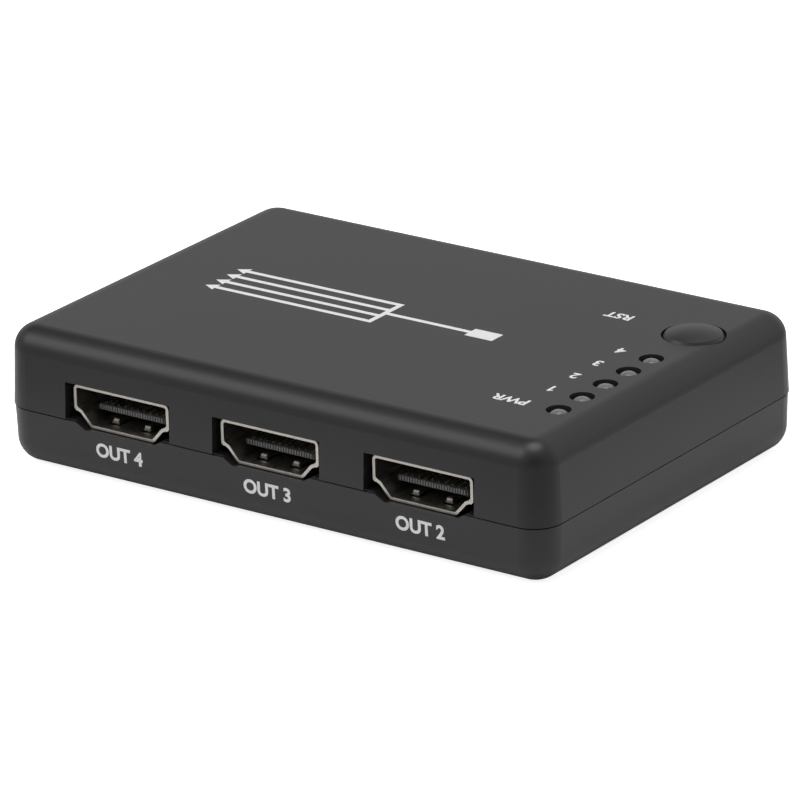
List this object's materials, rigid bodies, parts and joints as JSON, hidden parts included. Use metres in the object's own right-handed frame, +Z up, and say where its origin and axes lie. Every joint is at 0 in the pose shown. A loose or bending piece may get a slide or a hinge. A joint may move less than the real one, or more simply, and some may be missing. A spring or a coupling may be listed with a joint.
{
  "type": "hdmi splitter",
  "caption": "Small flat HDMI splitter in a dark grey two-part moulded case, with HDMI sockets front and back, a row of lights, a reset button and a power inlet.",
  "frame": {"origin": "centre of the case's underside, on the surface it stands on", "axes": "+X to the right along the face with three sockets, as seen from the front; +Y from that face to the back; +Z up"},
  "size_m": [0.0834, 0.0586, 0.0193],
  "materials": {
    "case": "dark grey moulded, very fine texture",
    "button": "dark grey moulded, satin",
    "light": "diffused, off",
    "socket_metal": "nickel plated sheet, satin",
    "black_plastic": "black moulded",
    "contact_metal": "gold plated",
    "spring_steel": "bright",
    "sheet_steel": "bright",
    "screw_steel": "blackened",
    "tinned_metal": "tinned",
    "board": "green lacquered",
    "chip": "black moulded",
    "can_metal": "bright",
    "ferrite": "dark grey",
    "ceramic": "tan"
  },
  "bodies": {
    "case": {"top_shell": "case", "bottom_shell": "case", "case_screws": "screw_steel", "circuit_board": "board", "switch_body": "black_plastic", "switch_cover": "sheet_steel", "switch_dome": "spring_steel", "switch_terminals": "tinned_metal", "power_led": "light", "led_1": "light", "led_2": "light", "led_3": "light", "led_4": "light", "led_leads": "tinned_metal", "dc_jack_housing": "black_plastic", "dc_jack_pin": "tinned_metal", "dc_jack_spring": "spring_steel", "splitter_chip": "chip", "control_chip": "chip", "control_chip_pins": "tinned_metal", "regulators": "chip", "regulator_pins": "tinned_metal", "crystal": "sheet_steel", "electrolytic_capacitors": "can_metal", "power_inductor": "ferrite", "ceramic_capacitors": "ceramic", "resistors": "chip", "protection_arrays": "chip", "output_4_shell": "socket_metal", "output_4_insulator": "black_plastic", "output_4_contacts": "contact_metal", "output_3_shell": "socket_metal", "output_3_insulator": "black_plastic", "output_3_contacts": "contact_metal", "output_2_shell": "socket_metal", "output_2_insulator": "black_plastic", "output_2_contacts": "contact_metal", "input_shell": "socket_metal", "input_insulator": "black_plastic", "input_contacts": "contact_metal", "output_1_shell": "socket_metal", "output_1_insulator": "black_plastic", "output_1_contacts": "contact_metal"},
    "button": {"reset_button": "button", "switch_plunger": "black_plastic"}
  },
  "joints": [
    {"name": "reset_press", "type": "slide", "parent": "case", "child": "button", "axis": [0, 0, -1], "range_m": [0, 0.00025], "stiffness_N_per_m": 6400, "deforming": ["switch_dome"]}
  ]
}
